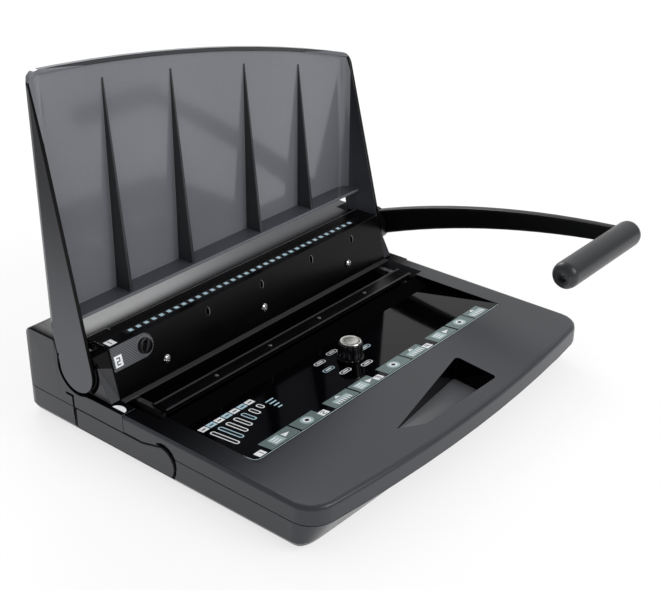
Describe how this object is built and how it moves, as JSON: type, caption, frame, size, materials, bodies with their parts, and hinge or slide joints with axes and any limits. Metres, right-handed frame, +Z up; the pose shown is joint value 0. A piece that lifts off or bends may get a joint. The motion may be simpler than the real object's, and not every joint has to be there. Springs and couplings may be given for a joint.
{
  "type": "wire binding machine",
  "caption": "Manual desktop wire binding machine: pull-down punch handle, hinged lid, row of square punch pins, wire closer, size knob, side guide and chip drawer.",
  "frame": {"origin": "middle of the machine's bounding footprint on the table", "axes": "+X along the row of holes towards the handle side, +Y to the rear, +Z up"},
  "size_m": [0.3996, 0.3498, 0.3002],
  "materials": {
    "body_plastic": "satin dark grey moulded plastic",
    "lid_plastic": "smoky grey high gloss moulding",
    "gloss_black": "black gloss moulding",
    "painted_steel": "black satin painted steel",
    "bright_steel": "machined steel",
    "bronze": "sintered bearing metal",
    "dark_arm": "near black coated casting",
    "grip_rubber": "matte dark grey moulding",
    "silver": "bright disc",
    "grey_plate": "mid grey moulding",
    "foot_rubber": "soft black rubber"
  },
  "bodies": {
    "base": {"anvil_bar": "painted_steel", "base_pan": "body_plastic", "chassis_plate": "painted_steel", "closer_bed": "gloss_black", "cover_screw_left": "bright_steel", "cover_screw_middle": "bright_steel", "cover_screw_right": "bright_steel", "die_plate": "bright_steel", "end_cap_left": "body_plastic", "end_cap_right": "body_plastic", "foot_front_left": "foot_rubber", "foot_front_right": "foot_rubber", "foot_rear_left": "foot_rubber", "foot_rear_right": "foot_rubber", "frame_plate_left": "painted_steel", "frame_plate_right": "painted_steel", "front_cover": "body_plastic", "front_rail": "bright_steel", "guide_plate": "grey_plate", "instruction_panel": "gloss_black", "lid_bush_right": "bronze", "lid_pin_left": "bright_steel", "pin_guide_plate": "bright_steel", "punch_cover": "painted_steel", "rear_housing": "body_plastic", "shaft_bush_left": "bronze", "shaft_bush_right": "bronze", "slot_floor": "bright_steel"},
    "lid": {"lid": "lid_plastic"},
    "handle": {"drive_shaft": "bright_steel", "grip_bolt": "bright_steel", "handle_arm": "dark_arm", "handle_grip": "grip_rubber", "hub_screw": "bright_steel", "pinion_left": "bright_steel", "pinion_right": "bright_steel"},
    "punch": {"punch_bar": "bright_steel", "punch_rack_left": "bright_steel", "punch_rack_right": "bright_steel"},
    "closer": {"closer_plate": "painted_steel", "closer_rack_left": "bright_steel", "closer_rack_right": "bright_steel", "closer_screw_1": "bright_steel", "closer_screw_2": "bright_steel", "closer_screw_3": "bright_steel", "closer_screw_4": "bright_steel", "closer_strip": "painted_steel"},
    "size_dial": {"size_cam": "bright_steel", "size_knob": "gloss_black", "size_knob_cap": "silver"},
    "guide_dial": {"guide_knob": "gloss_black"},
    "paper_guide": {"side_guide": "bright_steel"},
    "drawer": {"chip_drawer": "body_plastic"}
  },
  "joints": [
    {"name": "lid_hinge", "type": "hinge", "parent": "base", "child": "lid", "pos_m": [-0.01385, 0.10693, 0.063], "axis": [1, 0, 0], "range_deg": [0, 100.6]},
    {"name": "handle_turn", "type": "hinge", "parent": "base", "child": "handle", "pos_m": [-0.01385, 0.10693, 0.063], "axis": [1, 0, 0], "range_deg": [-60, 22]},
    {"name": "punch_slide", "type": "slide", "parent": "base", "child": "punch", "axis": [0, -1, 0], "range_m": [-0.0095, 0.0035]},
    {"name": "closer_slide", "type": "slide", "parent": "base", "child": "closer", "axis": [0, 1, 0], "range_m": [-0.0095, 0.0035]},
    {"name": "size_knob_turn", "type": "hinge", "parent": "base", "child": "size_dial", "pos_m": [-0.00985, -0.01907, 0.045], "axis": [0, 0, 1], "range_deg": [-75, 75]},
    {"name": "guide_knob_turn", "type": "hinge", "parent": "base", "child": "guide_dial", "pos_m": [-0.15185, 0.08037, 0.0755], "axis": [0, -0.9715, 0.2372], "range_deg": [-75, 75]},
    {"name": "paper_guide_slide", "type": "slide", "parent": "base", "child": "paper_guide", "axis": [1, 0, 0], "range_m": [-0.00235, 0.00235]},
    {"name": "drawer_slide", "type": "slide", "parent": "base", "child": "drawer", "axis": [-1, 0, 0], "range_m": [0, 0.28]}
  ],
  "couplings": [
    {"joint": "punch_slide", "follows": "handle_turn", "m_per_rad": 0.009},
    {"joint": "closer_slide", "follows": "handle_turn", "m_per_rad": 0.009},
    {"joint": "guide_knob_turn", "follows": "paper_guide_slide", "rad_per_m": 555.56}
  ]
}
